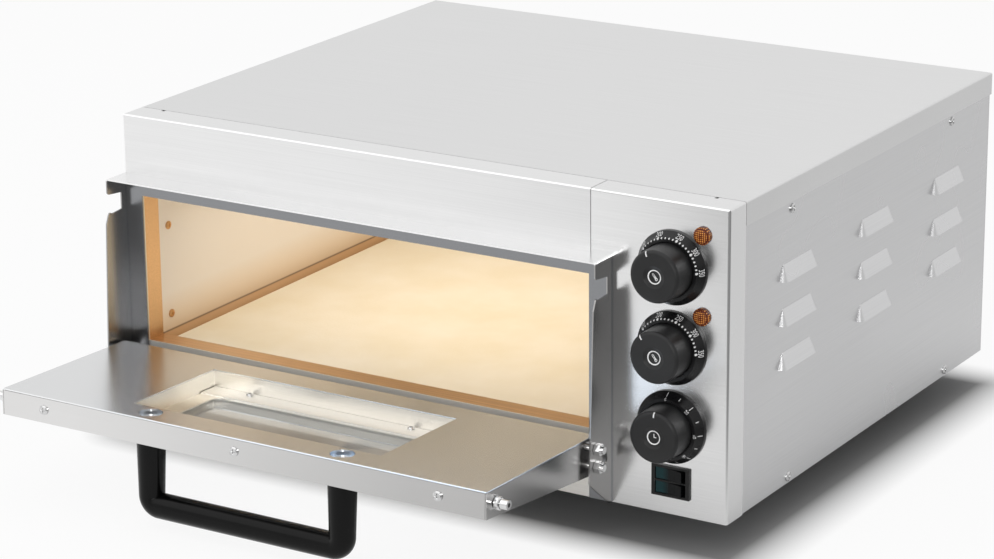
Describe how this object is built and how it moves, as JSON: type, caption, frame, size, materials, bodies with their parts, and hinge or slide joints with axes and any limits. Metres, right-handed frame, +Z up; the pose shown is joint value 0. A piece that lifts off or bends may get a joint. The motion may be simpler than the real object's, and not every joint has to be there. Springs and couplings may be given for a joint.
{
  "type": "electric pizza oven",
  "caption": "Countertop electric pizza oven in brushed stainless steel with a baking stone, a windowed drop-down door and a column of dials.",
  "frame": {"origin": "centre of the footprint of the whole oven with its door open, on the table under the feet", "axes": "+Z up, +X to the right as the user faces the door, +Y from the door towards the rear panel"},
  "size_m": [0.58, 0.6724, 0.28],
  "materials": {
    "brushed_stainless": "satin, fine horizontal brushing",
    "frame_stainless": "satin",
    "galvanised_steel": "dull",
    "warm_liner_steel": "satin",
    "chamber_enamel": "satin",
    "baking_stone": "matte",
    "element_steel": "matte",
    "ceramic_wool": "matte",
    "control_plastic": "matte",
    "capillary_steel": "satin",
    "dial_black": "satin",
    "knob_black": "satin",
    "handle_black": "semi-gloss",
    "switch_black": "satin",
    "rocker_tinted": "gloss",
    "lamp_amber": "gloss, faceted",
    "gland_black": "satin",
    "foot_rubber": "matte",
    "zinc_screws": "satin",
    "bright_bolts": "polished",
    "clip_steel": "satin",
    "window_glass": "clear"
  },
  "bodies": {
    "root": {"base_pan": "galvanised_steel", "left_side_panel": "brushed_stainless", "right_side_panel": "brushed_stainless", "rear_panel": "brushed_stainless", "top_cover": "brushed_stainless", "hood_fascia": "brushed_stainless", "control_panel": "brushed_stainless", "lower_front_panel": "brushed_stainless", "door_frame": "frame_stainless", "chamber_collar": "warm_liner_steel", "chamber_liner": "chamber_enamel", "stone_rails": "galvanised_steel", "baking_stone": "baking_stone", "top_element": "element_steel", "bottom_element": "element_steel", "element_hangers": "galvanised_steel", "insulation_top": "ceramic_wool", "insulation_bottom": "ceramic_wool", "insulation_left": "ceramic_wool", "insulation_right": "ceramic_wool", "insulation_rear": "ceramic_wool", "partition": "galvanised_steel", "thermostat_top": "control_plastic", "thermostat_bottom": "control_plastic", "timer": "control_plastic", "sensor_bulbs": "capillary_steel", "dial_bezels": "dial_black", "lamp_bodies": "control_plastic", "lamp_lenses": "lamp_amber", "switch_housing": "switch_black", "terminal_block": "control_plastic", "cable_gland": "gland_black", "feet": "foot_rubber", "foot_screws": "zinc_screws", "side_screws": "zinc_screws", "rear_screws": "zinc_screws", "chamber_screws": "zinc_screws"},
    "door": {"door_outer_skin": "brushed_stainless", "door_inner_skin": "brushed_stainless", "door_insulation": "ceramic_wool", "window_well": "warm_liner_steel", "window_clip": "clip_steel", "door_glass": "window_glass", "window_screws": "zinc_screws", "handle": "handle_black", "handle_screws": "zinc_screws", "edge_screws": "zinc_screws", "hinge_bolts": "bright_bolts", "stop_bolts": "bright_bolts", "latch_screws": "bright_bolts"},
    "top_knob": {"shaft_top": "capillary_steel", "knob_top": "knob_black"},
    "bottom_knob": {"shaft_bottom": "capillary_steel", "knob_bottom": "knob_black"},
    "timer_knob": {"shaft_timer": "capillary_steel", "knob_timer": "knob_black"},
    "upper_rocker": {"rocker_upper": "rocker_tinted"},
    "lower_rocker": {"rocker_lower": "rocker_tinted"},
    "left_roller": {"latch_roller_left": "bright_bolts"},
    "right_roller": {"latch_roller_right": "bright_bolts"}
  },
  "joints": [
    {"name": "door_hinge", "type": "hinge", "parent": "root", "child": "door", "pos_m": [0, -0.18291, 0.0655], "axis": [-1, 0, 0], "range_deg": [0, 87.8]},
    {"name": "top_knob_turn", "type": "hinge", "parent": "root", "child": "top_knob", "pos_m": [0.23725, -0.15741, 0.228], "axis": [0, 1, 0], "range_deg": [-129, 109]},
    {"name": "bottom_knob_turn", "type": "hinge", "parent": "root", "child": "bottom_knob", "pos_m": [0.23725, -0.15741, 0.16401], "axis": [0, 1, 0], "range_deg": [-113, 125]},
    {"name": "timer_knob_turn", "type": "hinge", "parent": "root", "child": "timer_knob", "pos_m": [0.23725, -0.15741, 0.10001], "axis": [0, 1, 0], "range_deg": [0, 284]},
    {"name": "upper_rocker_tilt", "type": "hinge", "parent": "root", "child": "upper_rocker", "pos_m": [0.23725, -0.15341, 0.0607], "axis": [0, 0, 1], "range_deg": [0, 16]},
    {"name": "lower_rocker_tilt", "type": "hinge", "parent": "root", "child": "lower_rocker", "pos_m": [0.23725, -0.15341, 0.0493], "axis": [0, 0, 1], "range_deg": [0, 16]},
    {"name": "left_roller_spin", "type": "hinge", "parent": "door", "child": "left_roller", "pos_m": [-0.28305, -0.32384, 0.08292], "axis": [1, 0, 0], "continuous": true},
    {"name": "right_roller_spin", "type": "hinge", "parent": "door", "child": "right_roller", "pos_m": [0.18555, -0.32384, 0.08292], "axis": [1, 0, 0], "continuous": true}
  ]
}
